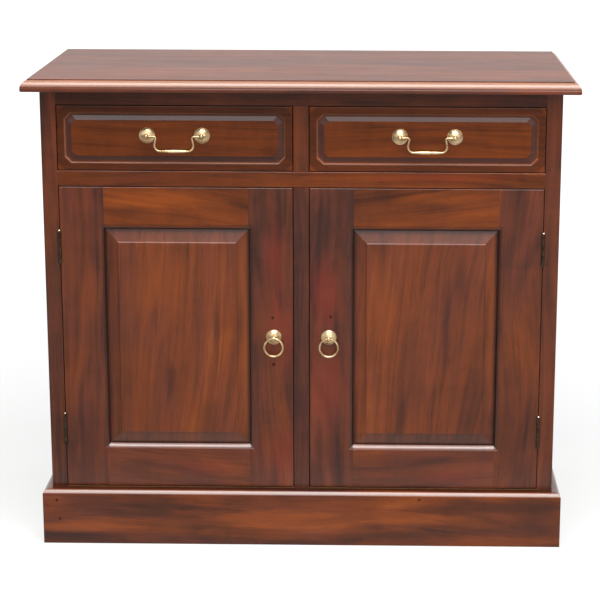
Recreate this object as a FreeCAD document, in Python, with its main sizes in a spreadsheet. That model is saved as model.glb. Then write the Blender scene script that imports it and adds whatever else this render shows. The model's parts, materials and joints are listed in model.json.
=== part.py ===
"""A mahogany chiffonier: two drawers over two panelled doors, on a moulded plinth.

Millimetres. X runs to the right, Y to the back and Z up. The origin lies on the floor, in the middle
of the top board's outline, which covers everything else when the doors and drawers are shut.
"""
import FreeCAD
import Part
import math
import os
import re
import Sketcher
from FreeCAD import Placement, Rotation, Vector

SIZES = {
    # Outside of the whole piece
    "top_width": 990.0,
    "top_depth": 480.0,
    "total_height": 866.0,
    "top_thickness": 22.0,
    "side_overhang": 30.0,
    "front_overhang": 28.0,
    # Moulded edge of the top board
    "nose_height": 16.0,
    "nose_round": 15.0,
    "nose_under_round": 3.0,
    "slope_width": 12.0,
    "quirk_height": 1.5,
    # Face frame
    "frame_thickness": 22.0,
    "stile_width": 28.0,
    "muntin_width": 28.0,
    "top_rail_height": 25.5,
    "middle_rail_height": 28.5,
    "bottom_rail_height": 45.0,
    "drawer_opening_height": 118.5,
    "frame_tenon_length": 14.0,
    "frame_tenon_thickness": 8.0,
    "frame_tenon_setback": 5.0,
    "frame_tenon_shoulder": 5.0,
    "muntin_tenon_length": 8.0,
    "arris_round": 1.4,
    # Sides and back
    "side_thickness": 22.0,
    "side_tongue_length": 8.0,
    "side_tongue_thickness": 8.0,
    "side_tongue_setback": 7.0,
    "back_thickness": 8.0,
    "back_rebate": 10.0,
    "back_rail_thickness": 20.0,
    "back_rail_housing": 6.0,
    "back_bottom_rail_height": 40.0,
    # Cupboard floor and shelf
    "floor_thickness": 18.0,
    "floor_step": 12.0,
    "floor_housing": 6.0,
    "shelf_rise": 258.5,
    "shelf_thickness": 18.0,
    "shelf_side_gap": 1.0,
    "shelf_front_setback": 45.0,
    "shelf_back_gap": 2.0,
    "bearer_thickness": 18.0,
    "bearer_height": 25.0,
    "bearer_end_gap": 20.0,
    # Plinth
    "plinth_height": 103.5,
    "plinth_front_thickness": 25.0,
    "plinth_side_thickness": 15.0,
    "plinth_round": 9.0,
    "corner_block_width": 30.0,
    "corner_block_height": 60.0,
    # Runners, guides and kickers of the drawers
    "runner_lip": 8.5,
    "guide_height": 15.0,
    "top_screw_radius": 2.0,
    "top_screw_grip": 14.0,
    "top_screw_head_radius": 4.2,
    "top_screw_head_height": 3.0,
    "top_screw_sink": 8.0,
    # Doors
    "door_gap": 1.1,
    "hinge_gap": 1.0,
    "door_foot_gap": 2.0,
    "door_thickness": 21.0,
    "door_stile_width": 80.0,
    "door_top_rail_width": 78.5,
    "door_foot_rail_width": 80.5,
    "sticking_width": 10.4,
    "sticking_quirk": 0.8,
    "sticking_round": 9.6,
    "panel_groove_width": 6.0,
    "panel_groove_depth": 8.0,
    "panel_groove_setback": 11.0,
    "door_tenon_length": 45.0,
    "door_tenon_shoulder": 12.0,
    "panel_end_clearance": 1.0,
    "panel_face_clearance": 0.1,
    "panel_edge_clearance": 0.3,
    "bevel_width": 22.0,
    "field_setback": 3.0,
    "field_step": 3.2,
    "field_round": 3.0,
    # Butt hinges
    "hinge_length": 60.0,
    "hinge_inset": 80.0,
    "leaf_thickness": 0.9,
    "leaf_gap": 0.2,
    "leaf_reach": 17.0,
    "knuckle_radius": 3.2,
    "axis_proud": 3.6,
    "knuckle_end_gap": 0.3,
    "pin_radius": 1.5,
    "pin_clearance": 0.08,
    "pin_head_radius": 2.5,
    "hinge_screw_radius": 1.2,
    "hinge_screw_length": 13.0,
    "hinge_screw_head_radius": 2.6,
    "hinge_screw_head_height": 1.8,
    "hinge_slot_width": 0.8,
    "hinge_slot_depth": 0.6,
    # Door catches
    "catch_width": 16.0,
    "catch_length": 40.0,
    "catch_height": 13.0,
    "catch_inset": 2.0,
    "catch_gap": 0.3,
    "catch_plate_thickness": 1.2,
    "catch_plate_height": 10.0,
    # Rosettes of the handles, alike on drawers and doors
    "rosette_radius": 14.0,
    "rosette_rim": 1.2,
    "rosette_dome_radius": 13.2,
    "rosette_dome_height": 6.4,
    "rosette_neck_radius": 3.2,
    "bolt_radius": 2.5,
    "nut_radius": 6.0,
    "nut_height": 3.5,
    # Ring pulls
    "ring_height": 288.5,
    "ring_inset": 35.2,
    "eye_radius": 4.5,
    "eye_projection": 13.0,
    "eye_hole_radius": 2.6,
    "ring_radius": 16.8,
    "ring_wire_radius": 1.85,
    # Drawers
    "drawer_gap": 1.1,
    "drawer_front_thickness": 21.0,
    "drawer_rear_gap": 14.0,
    "drawer_side_thickness": 12.0,
    "drawer_head_gap": 3.0,
    "runner_clearance": 0.3,
    "drawer_back_thickness": 12.0,
    "drawer_back_housing": 4.0,
    "drawer_back_drop": 12.0,
    "drawer_back_inset": 8.0,
    "drawer_bottom_thickness": 5.0,
    "drawer_bottom_rise": 9.0,
    "drawer_groove_depth": 5.0,
    "tail_length": 14.0,
    "tail_width": 24.0,
    "tail_flare": 3.0,
    # Sunk moulding with cut corners on the drawer fronts
    "sunk_border": 14.0,
    "sunk_width": 12.0,
    "sunk_depth": 4.0,
    "sunk_round": 2.2,
    "sunk_slope": 8.0,
    "sunk_step": 1.0,
    "sunk_cant": 11.0,
    "field_cant": 8.0,
    # Swan-neck bails
    "bail_rise": 5.25,
    "bail_spacing": 98.0,
    "ball_radius": 4.3,
    "ball_projection": 15.0,
    "bail_wire_radius": 1.8,
    "bail_clearance": 0.08,
    "bail_pin_depth": 2.2,
    "bail_pin_end_gap": 0.3,
    "bail_neck_half": 31.5,
    "bail_foot_half": 37.2,
    "bail_drop": 26.3,
    "bail_neck_round": 3.5,
    "bail_foot_round": 10.5,
    "bail_grip_half": 23.0,
    "bail_grip_radius": 3.1,
    "bail_grip_end_radius": 2.0,
    # How far a cutting block reaches past what it cuts
    "overrun": 5.0,
}

# Places along a length, as shares of it
HINGE_SCREW_SHARES = (0.14, 0.5, 0.86)
KNUCKLE_SHARES = (0.0, 0.36, 0.64, 1.0)
TAIL_SHARES = (0.27, 0.53, 0.79)
TOP_SCREW_SHARES = (0.12, 0.88)
LEFT, RIGHT = -1, 1
SIDE_NAMES = {LEFT: "left", RIGHT: "right"}
# Two lengths closer than this are the same
ROUNDING = 1e-6

doc = FreeCAD.newDocument("chiffonier")
sheet = doc.addObject("Spreadsheet::Sheet", "Sizes")
for row, (alias, number) in enumerate(SIZES.items(), start=1):
    sheet.set(f"A{row}", alias)
    sheet.set(f"B{row}", str(number))
    sheet.setAlias(f"B{row}", alias)
doc.recompute()

# Places in the frame, written in the sheet's names
CARCASS = "(top_width / 2 - side_overhang)"
INSIDE = f"({CARCASS} - side_thickness)"
OPENING = f"({CARCASS} - stile_width)"
MUNTIN = "(muntin_width / 2)"
FACE = "(front_overhang - top_depth / 2)"
FRAME_BACK = f"({FACE} + frame_thickness)"
REAR = "(top_depth / 2)"
PANEL_FRONT = f"({REAR} - back_thickness)"
BACK_RAIL_FRONT = f"({PANEL_FRONT} - back_rail_thickness)"
CARCASS_TOP = "(total_height - top_thickness)"
DRAWER_HEAD = f"({CARCASS_TOP} - top_rail_height)"
DRAWER_SILL = f"({DRAWER_HEAD} - drawer_opening_height)"
DOOR_HEAD = f"({DRAWER_SILL} - middle_rail_height)"
FLOOR_TOP = "(plinth_height + floor_step)"
FLOOR_UNDER = f"({FLOOR_TOP} - floor_thickness)"
SHELF_UNDER = f"({FLOOR_TOP} + shelf_rise)"

DOOR_OUTER = f"({OPENING} - hinge_gap)"
DOOR_INNER = f"({MUNTIN} + door_gap)"
DOOR_TOP = f"({DOOR_HEAD} - door_gap)"
DOOR_FOOT = "(plinth_height + door_foot_gap)"
DOOR_BACK = f"({FACE} + door_thickness)"
SIGHT_OUTER = f"({DOOR_OUTER} - door_stile_width)"
SIGHT_INNER = f"({DOOR_INNER} + door_stile_width)"
SIGHT_TOP = f"({DOOR_TOP} - door_top_rail_width)"
SIGHT_FOOT = f"({DOOR_FOOT} + door_foot_rail_width)"
GROOVE_FRONT = f"({FACE} + panel_groove_setback)"
GROOVE_BACK = f"({GROOVE_FRONT} + panel_groove_width)"
HINGE_X = f"({OPENING} - hinge_gap / 2)"
HINGE_Y = f"({FACE} - axis_proud)"
HINGE_FEET = (f"({DOOR_TOP} - hinge_inset - hinge_length)", f"({DOOR_FOOT} + hinge_inset)")

DRAWER_OUTER = f"({OPENING} - drawer_gap)"
DRAWER_INNER = f"({MUNTIN} + drawer_gap)"
DRAWER_MIDDLE = f"(({DRAWER_OUTER} + {DRAWER_INNER}) / 2)"
DRAWER_HALF = f"(({DRAWER_OUTER} - {DRAWER_INNER}) / 2)"
DRAWER_TOP = f"({DRAWER_HEAD} - drawer_gap)"
DRAWER_FOOT = f"({DRAWER_SILL} + drawer_gap)"
DRAWER_CENTRE = f"(({DRAWER_TOP} + {DRAWER_FOOT}) / 2)"
FRONT_BACK = f"({FACE} + drawer_front_thickness)"
BOX_FOOT = f"({DRAWER_SILL} + runner_clearance)"
BOX_TOP = f"({DRAWER_HEAD} - drawer_head_gap)"
BOX_REAR = f"({BACK_RAIL_FRONT} - drawer_rear_gap)"
BAIL_HEIGHT = f"({DRAWER_CENTRE} + bail_rise)"
RUNNER_REACH = "(drawer_gap + drawer_side_thickness + runner_lip)"

UPWARD = Rotation()
FORWARD = Rotation(Vector(1, 0, 0), 90)
TO_RIGHT = Rotation(Vector(0, 1, 0), 90)
TO_LEFT = Rotation(Vector(0, 1, 0), -90)
TOWARDS = {LEFT: TO_LEFT, RIGHT: TO_RIGHT}

parts = {}


def size(name):
    """The number that a cell of the sheet holds."""
    return float(sheet.get(name))


def link(text):
    """Spell each size that an expression names as its cell in the sheet."""
    return re.sub(r"[a-z][a-z_]*", lambda word: f"Sizes.{word[0]}" if word[0] in SIZES else word[0], text)


def bind(feature, **sizes):
    """Tie properties of a feature to expressions in the sheet's names."""
    for name, text in sizes.items():
        feature.setExpression(name, link(text))
    return feature


def place(feature, x, y, z, rotation=UPWARD):
    """Put a feature at a place written in the sheet's names."""
    feature.Placement = Placement(Vector(), rotation)
    for axis, text in zip("xyz", (x, y, z)):
        feature.setExpression(f"Placement.Base.{axis}", link(text))
    return feature


def span(side, inner, outer):
    """Two places along X, given for the right side, on the side asked for and in rising order."""
    return (inner, outer) if side == RIGHT else (f"-({outer})", f"-({inner})")


def across(side, x):
    """A place along X, given for the right side, on the side asked for."""
    return x if side == RIGHT else f"-({x})"


def block(x, y, z):
    """A box between two places along each axis."""
    made = doc.addObject("Part::Box", "block")
    lengths = [f"({high}) - ({low})" for low, high in (x, y, z)]
    bind(made, Length=lengths[0], Width=lengths[1], Height=lengths[2])
    return place(made, x[0], y[0], z[0])


def rod(radius, length, x, y, z, rotation=UPWARD):
    """A round bar from a place, along the rotated Z axis."""
    made = bind(doc.addObject("Part::Cylinder", "rod"), Radius=radius, Height=length)
    return place(made, x, y, z, rotation)


def taper(start_radius, end_radius, length, x, y, z, rotation=UPWARD):
    """A round taper from a place, along the rotated Z axis."""
    made = doc.addObject("Part::Cone", "taper")
    bind(made, Radius1=start_radius, Radius2=end_radius, Height=length)
    return place(made, x, y, z, rotation)


def ball(radius, x, y, z):
    """A sphere about a place."""
    return place(bind(doc.addObject("Part::Sphere", "ball"), Radius=radius), x, y, z)


def torus(ring_radius, wire_radius, x, y, z, rotation=UPWARD):
    """A ring of round wire about a place."""
    made = bind(doc.addObject("Part::Torus", "torus"), Radius1=ring_radius, Radius2=wire_radius)
    return place(made, x, y, z, rotation)


def wedge(y, x_start, x_end, z_start, z_end):
    """A block whose outline in X and Z changes from one place along Y to the next."""
    made = doc.addObject("Part::Wedge", "wedge")
    bind(made, Ymin=y[0], Ymax=y[1], Xmin=x_start[0], Xmax=x_start[1], X2min=x_end[0], X2max=x_end[1])
    return bind(made, Zmin=z_start[0], Zmax=z_start[1], Z2min=z_end[0], Z2max=z_end[1])


def join(*solids):
    """One solid made of several that touch or overlap."""
    made = doc.addObject("Part::MultiFuse", "joined")
    made.Shapes = list(solids)
    return made


def trim(base, *tools):
    """A solid with others cut out of it."""
    made = doc.addObject("Part::Cut", "trimmed")
    made.Base = base
    made.Tool = tools[0] if len(tools) == 1 else join(*tools)
    return made


def shared(*solids):
    """What several solids have in common."""
    made = doc.addObject("Part::MultiCommon", "shared")
    made.Shapes = list(solids)
    return made


def group(*solids):
    """Separate solids kept under one name."""
    made = doc.addObject("Part::Compound", "group")
    made.Links = list(solids)
    return made


def keep(name, feature):
    """Name a feature as one sub-part of the piece."""
    feature.Label = name
    parts[name] = feature
    return feature


def middle(edge):
    """The point halfway along an edge."""
    return edge.valueAt((edge.FirstParameter + edge.LastParameter) / 2)


def picked(shape, wanted):
    """Numbers of the edges whose middle point is wanted, where the shape's box is given too."""
    box = shape.BoundBox
    return [number for number, edge in enumerate(shape.Edges, start=1) if wanted(middle(edge), box)]


def near(one, other):
    """Whether two lengths are the same, but for rounding."""
    return math.isclose(one, other, abs_tol=ROUNDING)


def rounded(base, **choices):
    """A solid with edges rounded: the name of a radius for each rule that picks edges."""
    doc.recompute()
    made = doc.addObject("Part::Fillet", "rounded")
    made.Base = base
    made.Edges = [
        (number, size(radius), size(radius))
        for radius, wanted in choices.items()
        for number in picked(base.Shape, wanted)
    ]
    return made


def on_front(point, box):
    """Whether a point lies on the front of a box."""
    return near(point.y, box.YMin)


def on_rim(point, box):
    """Whether a point lies on the outline of a box that is seen from the front."""
    return any(near(one, other) for one, other in (
        (point.x, box.XMin), (point.x, box.XMax), (point.z, box.ZMin), (point.z, box.ZMax)))


def on_sight(point, box):
    """Whether a point lies on the sunk edge round a door's sight."""
    stile, foot_rail, top_rail = (size(name) for name in (
        "door_stile_width", "door_foot_rail_width", "door_top_rail_width"))
    return near(point.y, box.YMin + size("sticking_quirk")) and any(near(one, other) for one, other in (
        (point.x, box.XMin + stile), (point.x, box.XMax - stile),
        (point.z, box.ZMin + foot_rail), (point.z, box.ZMax - top_rail)))


def outline(body, role, offset, corners):
    """A closed outline of straight runs on one of a body's own planes, moved along its normal."""
    plane = next(item for item in body.Origin.OriginFeatures if item.Role == role)
    sketch = body.newObject("Sketcher::SketchObject", "outline")
    sketch.AttachmentSupport = [(plane, "")]
    sketch.MapMode = "FlatFace"
    sketch.setExpression("AttachmentOffset.Base.z", link(offset))
    count = len(corners)
    turns = [math.tau * number / count for number in range(count)]
    starts = [Vector(math.cos(turn), math.sin(turn)) for turn in turns]
    for number, start in enumerate(starts):
        sketch.addGeometry(Part.LineSegment(start, starts[(number + 1) % count]))
    for number in range(count):
        sketch.addConstraint(Sketcher.Constraint("Coincident", number, 2, (number + 1) % count, 1))
    for number, (corner, start) in enumerate(zip(corners, starts)):
        for kind, text, first in zip(("DistanceX", "DistanceY"), corner, start):
            row = sketch.addConstraint(Sketcher.Constraint(kind, -1, 1, number, 1, first))
            sketch.setExpression(f"Constraints[{row}]", link(text))
    return sketch


def pad(body, sketch, length):
    """Raise an outline along its plane's normal."""
    made = body.newObject("PartDesign::Pad", "pad")
    made.Profile = sketch
    return bind(made, Length=length)


def soften(body, base, radius, wanted):
    """Round edges of a body's last feature."""
    doc.recompute()
    made = body.newObject("PartDesign::Fillet", "soft_edges")
    made.Base = (base, [f"Edge{number}" for number in picked(base.Shape, wanted)])
    return bind(made, Radius=radius)


def moulded_slab(role, offset, length, corners, noses):
    """The top board's section along one axis, run out and with its nose rounded."""
    body = doc.addObject("PartDesign::Body", "slab")
    run = pad(body, outline(body, role, offset, corners), length)
    upper = soften(body, run, "nose_round", lambda point, box: noses(point, box, size("nose_height")))
    soften(body, upper, "nose_under_round", lambda point, box: noses(point, box, 0.0))
    return place(body, "0", "0", CARCASS_TOP)


def top_board(screws):
    """The top: a round nose, a short slope and a small step along front and ends, square at the back."""
    front, back, half = "(-top_depth / 2)", "(top_depth / 2)", "(top_width / 2)"
    slope_top = "(top_thickness - quirk_height)"
    depth_section = [
        (front, "0"), (back, "0"), (back, "top_thickness"), (f"{front} + slope_width", "top_thickness"),
        (f"{front} + slope_width", slope_top), (front, "nose_height")]
    width_section = [
        (f"-{half}", "0"), (half, "0"), (half, "nose_height"), (f"{half} - slope_width", slope_top),
        (f"{half} - slope_width", "top_thickness"), (f"slope_width - {half}", "top_thickness"),
        (f"slope_width - {half}", slope_top), (f"-{half}", "nose_height")]

    def front_nose(point, box, height):
        return near(point.y, box.YMin) and near(point.z, height)

    def end_noses(point, box, height):
        return (near(point.x, box.XMin) or near(point.x, box.XMax)) and near(point.z, height)

    along = moulded_slab("YZ_Plane", f"-{half}", "top_width", depth_section, front_nose)
    over = moulded_slab("XZ_Plane", f"-{back}", "top_depth", width_section, end_noses)
    keep("top_board", trim(shared(along, over), *screws))


def tenon(x, z):
    """A tenon of the face frame, which also cuts its own mortise."""
    setback = f"({FACE} + frame_tenon_setback)"
    return block(x, (setback, f"{setback} + frame_tenon_thickness"), z)


def face_frame(hinge_cuts):
    """Stiles, rails and muntins, joined with tenons."""
    thick = (FACE, FRAME_BACK)
    levels = {
        "top_rail": (DRAWER_HEAD, CARCASS_TOP),
        "middle_rail": (DOOR_HEAD, DRAWER_SILL),
        "bottom_rail": ("(plinth_height - bottom_rail_height)", "plinth_height"),
    }
    rail_tenons = {
        name: {
            side: tenon(
                span(side, OPENING, f"({OPENING} + frame_tenon_length)"),
                (f"{low} + frame_tenon_shoulder", f"{high} - frame_tenon_shoulder"))
            for side in (LEFT, RIGHT)}
        for name, (low, high) in levels.items()}
    stub_half = f"({MUNTIN} - frame_tenon_shoulder)"
    muntins = {"drawer_muntin": (DRAWER_SILL, DRAWER_HEAD), "door_muntin": ("plinth_height", DOOR_HEAD)}
    stubs = {
        name: [
            tenon((f"-{stub_half}", stub_half), (f"{low} - muntin_tenon_length", low)),
            tenon((f"-{stub_half}", stub_half), (high, f"{high} + muntin_tenon_length"))]
        for name, (low, high) in muntins.items()}
    mortises = {
        "top_rail": [stubs["drawer_muntin"][1]],
        "middle_rail": [stubs["drawer_muntin"][0], stubs["door_muntin"][1]],
        "bottom_rail": [stubs["door_muntin"][0]],
    }
    for name, level in levels.items():
        bar = block((f"-{OPENING}", OPENING), thick, level)
        bar = rounded(bar, arris_round=lambda point, box: on_front(point, box) and near(point.x, 0))
        keep(name, trim(join(bar, *rail_tenons[name].values()), *mortises[name]))
    for name, level in muntins.items():
        post = block((f"-{MUNTIN}", MUNTIN), thick, level)
        post = rounded(post, arris_round=lambda point, box: on_front(point, box) and not near(point.x, 0))
        keep(name, join(post, *stubs[name]))
    for side in (LEFT, RIGHT):
        post = block(span(side, OPENING, CARCASS), thick, ("0", CARCASS_TOP))
        post = rounded(post, arris_round=lambda point, box, side=side: (
            on_front(point, box) and near(point.x, box.XMax if side == RIGHT else box.XMin)))
        sockets = [tenons[side] for tenons in rail_tenons.values()]
        keep(f"{SIDE_NAMES[side]}_front_stile", trim(post, side_tongue(side), *sockets, *hinge_cuts[side]))


def side_tongue(side):
    """The tongue of a side, which also cuts its groove in the stile."""
    outer = f"({CARCASS} - side_tongue_setback)"
    return block(
        span(side, f"{outer} - side_tongue_thickness", outer),
        (f"{FRAME_BACK} - side_tongue_length", FRAME_BACK),
        ("0", CARCASS_TOP))


def back_rails():
    """Three rails across the back, housed in the sides, and the panel that closes it."""
    half = f"({INSIDE} + back_rail_housing)"
    levels = {
        "back_top_rail": (DRAWER_HEAD, CARCASS_TOP),
        "back_middle_rail": (DOOR_HEAD, DRAWER_SILL),
        "back_bottom_rail": (f"{FLOOR_UNDER} - back_bottom_rail_height", FLOOR_UNDER),
    }
    for name, level in levels.items():
        keep(name, block((f"-{half}", half), (BACK_RAIL_FRONT, PANEL_FRONT), level))
    edge = f"({INSIDE} + back_rebate)"
    keep("back_panel", block((f"-{edge}", edge), (PANEL_FRONT, REAR), ("0", CARCASS_TOP)))
    return [parts[name] for name in levels] + [parts["back_panel"]]


def cupboard():
    """The floor, housed in the sides, and a shelf on two bearers."""
    half = f"({INSIDE} + floor_housing)"
    keep("floor_board", block((f"-{half}", half), (FRAME_BACK, PANEL_FRONT), (FLOOR_UNDER, FLOOR_TOP)))
    half = f"({INSIDE} - shelf_side_gap)"
    depth = (f"({FRAME_BACK} + shelf_front_setback)", f"({PANEL_FRONT} - shelf_back_gap)")
    board = block((f"-{half}", half), depth, (SHELF_UNDER, f"{SHELF_UNDER} + shelf_thickness"))
    keep("shelf", rounded(board, arris_round=lambda point, box: on_front(point, box) and near(point.x, 0)))
    bearers = [
        block(
            span(side, f"({INSIDE} - bearer_thickness)", INSIDE),
            (f"{depth[0]} + bearer_end_gap", f"{depth[1]} - bearer_end_gap"),
            (f"{SHELF_UNDER} - bearer_height", SHELF_UNDER))
        for side in (LEFT, RIGHT)]
    keep("shelf_bearers", group(*bearers))


def sides(housed):
    """The two sides: tongued into the stiles, housed for floor and rails, rebated for the back."""
    for side in (LEFT, RIGHT):
        board = block(span(side, INSIDE, CARCASS), (FRAME_BACK, REAR), ("0", CARCASS_TOP))
        keep(f"{SIDE_NAMES[side]}_side_panel", trim(join(board, side_tongue(side)), *housed))


def carriage():
    """Runners with guides under the drawers, kickers above them, and the screws that hold the top."""
    depth = (FRAME_BACK, BACK_RAIL_FRONT)
    runner = (DOOR_HEAD, DRAWER_SILL)
    guide = (DRAWER_SILL, f"{DRAWER_SILL} + guide_height")
    kicker = (DRAWER_HEAD, CARCASS_TOP)
    reach = f"({MUNTIN} + {RUNNER_REACH})"
    seats = [(f"-{reach}", reach)]
    seats += [span(side, f"({OPENING} - {RUNNER_REACH})", INSIDE) for side in (LEFT, RIGHT)]
    lips = [(f"-{MUNTIN}", MUNTIN)] + [span(side, OPENING, INSIDE) for side in (LEFT, RIGHT)]
    keep("drawer_runners", group(*[
        join(block(seat, depth, runner), block(lip, depth, guide)) for seat, lip in zip(seats, lips)]))
    screws, bars = [], []
    for seat in seats:
        fixed = [
            top_screw(
                f"(({seat[0]}) + ({seat[1]})) / 2", f"{depth[0]} + ({depth[1]} - {depth[0]}) * {share}")
            for share in TOP_SCREW_SHARES]
        screws += [screw for screw, _ in fixed]
        bars.append(trim(block(seat, depth, kicker), *[hole for _, hole in fixed]))
    keep("drawer_kickers", group(*bars))
    keep("top_screws", group(*screws))
    return screws


def top_screw(x, y):
    """A screw up through a kicker into the top, and the hole that takes it and its driver."""
    seat = f"({DRAWER_HEAD} + top_screw_sink)"
    shank = rod("top_screw_radius", f"{CARCASS_TOP} + top_screw_grip - {seat}", x, y, seat)
    head = rod("top_screw_head_radius", "top_screw_head_height", x, y, seat)
    screw = join(shank, head)
    well = rod("top_screw_head_radius", "top_screw_sink", x, y, DRAWER_HEAD)
    return screw, join(screw, well)


def plinth():
    """Three boards round the foot, mitred at the front, with a rounded top edge."""
    half = f"({CARCASS} + plinth_side_thickness)"
    front = f"({FACE} - plinth_front_thickness)"
    mitre_end = f"({front} + plinth_side_thickness)"
    level = ("0", "plinth_height")
    upright = ("-overrun", "plinth_height + overrun")
    mitre = wedge((front, mitre_end), (f"-{half}", half), (f"-{CARCASS}", CARCASS), upright, upright)
    behind = block((f"-{CARCASS}", CARCASS), (mitre_end, FACE), upright)
    board = rounded(
        block((f"-{half}", half), (front, FACE), level),
        plinth_round=lambda point, box: near(point.z, box.ZMax) and on_front(point, box))
    keep("plinth_front", shared(board, join(mitre, behind)))
    for side in (LEFT, RIGHT):
        board = rounded(
            block(span(side, CARCASS, half), (front, REAR), level),
            plinth_round=lambda point, box, side=side: (
                near(point.z, box.ZMax) and near(point.x, box.XMax if side == RIGHT else box.XMin)))
        keep(f"plinth_{SIDE_NAMES[side]}", trim(board, mitre))
    corners = [
        block(
            span(side, f"({INSIDE} - corner_block_width)", INSIDE), depth,
            (f"{FLOOR_UNDER} - corner_block_height", FLOOR_UNDER))
        for side in (LEFT, RIGHT)
        for depth in (
            (FRAME_BACK, f"{FRAME_BACK} + corner_block_width"),
            (f"{BACK_RAIL_FRONT} - corner_block_width", BACK_RAIL_FRONT))]
    keep("corner_blocks", group(*corners))


def from_hinge(outward, distance):
    """A place along X at a distance from the middle of the hinge gap, towards the frame or the door."""
    return f"({HINGE_X} + {distance})" if outward else f"({HINGE_X} - {distance})"


def hinge_leaf(side, foot, leaf_side, knuckles):
    """One leaf of a hinge with the knuckles that it is rolled into, and its plate, let into the wood."""
    outward = leaf_side == side
    plate_x = [from_hinge(outward, "leaf_gap / 2"), from_hinge(outward, "(leaf_gap / 2 + leaf_thickness)")]
    if not outward:
        plate_x.reverse()
    bore = rod("pin_radius + pin_clearance", "hinge_length + 2 * overrun", across(side, HINGE_X), HINGE_Y,
               f"{foot} - overrun")
    plate = block(span(side, *plate_x), (FACE, f"{FACE} + leaf_reach"), (foot, f"{foot} + hinge_length"))
    solids = [plate]
    for low_share, high_share in knuckles:
        low = f"({foot} + hinge_length * {low_share} + knuckle_end_gap / 2)"
        length = f"(hinge_length * ({high_share} - {low_share}) - knuckle_end_gap)"
        solids.append(rod("knuckle_radius", length, across(side, HINGE_X), HINGE_Y, low))
        solids.append(block(span(side, *plate_x), (HINGE_Y, FACE), (low, f"{low} + {length}")))
    return trim(join(*solids), bore), plate


def hinge_screws(side, foot, leaf_side):
    """Slotted screws from the face of a leaf into the wood behind it, and the holes that take them."""
    outward = leaf_side == side
    start = from_hinge(outward, "leaf_gap / 2")
    slot_x = (start, f"{start} + hinge_slot_depth") if outward else (f"{start} - hinge_slot_depth", start)
    turn = TOWARDS[side if outward else -side]
    depth = f"({FACE} + leaf_reach / 2)"
    slot_y = (f"{depth} - hinge_slot_width / 2", f"{depth} + hinge_slot_width / 2")
    screws, holes = [], []
    for share in HINGE_SCREW_SHARES:
        level = f"({foot} + hinge_length * {share})"
        at = (across(side, start), depth, level)
        head = taper("hinge_screw_head_radius", "hinge_screw_radius", "hinge_screw_head_height", *at, turn)
        hole = join(head, rod("hinge_screw_radius", "hinge_screw_length", *at, turn))
        slot_z = (f"{level} - hinge_screw_head_radius", f"{level} + hinge_screw_head_radius")
        screws.append(trim(hole, block(span(side, *slot_x), slot_y, slot_z)))
        holes.append(hole)
    return screws, holes


def hinges():
    """Two butt hinges to a door: leaves, pins and screws, and what leaves and screws cut from the wood."""
    frame_knuckles = [(KNUCKLE_SHARES[0], KNUCKLE_SHARES[1]), (KNUCKLE_SHARES[2], KNUCKLE_SHARES[3])]
    door_knuckles = [(KNUCKLE_SHARES[1], KNUCKLE_SHARES[2])]
    frame_leaves, pins, frame_screws = [], [], []
    frame_cuts, door_cuts = {}, {}
    for side in (LEFT, RIGHT):
        door_leaves, door_screws = [], []
        frame_cuts[side], door_cuts[side] = [], []
        for foot in HINGE_FEET:
            in_frame, frame_holes = hinge_screws(side, foot, side)
            in_door, door_holes = hinge_screws(side, foot, -side)
            frame_leaf, frame_plate = hinge_leaf(side, foot, side, frame_knuckles)
            door_leaf, door_plate = hinge_leaf(side, foot, -side, door_knuckles)
            frame_leaves.append(trim(frame_leaf, *frame_holes))
            door_leaves.append(trim(door_leaf, *door_holes))
            frame_screws += in_frame
            door_screws += in_door
            frame_cuts[side] += [frame_plate, *frame_holes]
            door_cuts[side] += [door_plate, *door_holes]
            pins.append(hinge_pin(side, foot))
        keep(f"{SIDE_NAMES[side]}_door_hinge_leaves", group(*door_leaves))
        keep(f"{SIDE_NAMES[side]}_door_hinge_screws", group(*door_screws))
    keep("hinge_frame_leaves", group(*frame_leaves))
    keep("hinge_pins", group(*pins))
    keep("frame_hinge_screws", group(*frame_screws))
    return frame_cuts, door_cuts


def hinge_pin(side, foot):
    """A hinge pin with a half-round head above the top knuckle."""
    at = (across(side, HINGE_X), HINGE_Y)
    shank = rod("pin_radius", "hinge_length", *at, foot)
    top = f"({foot} + hinge_length)"
    dome = shared(
        ball("pin_head_radius", *at, top),
        rod("pin_head_radius + overrun", "pin_head_radius + overrun", *at, top))
    return join(shank, dome)


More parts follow.
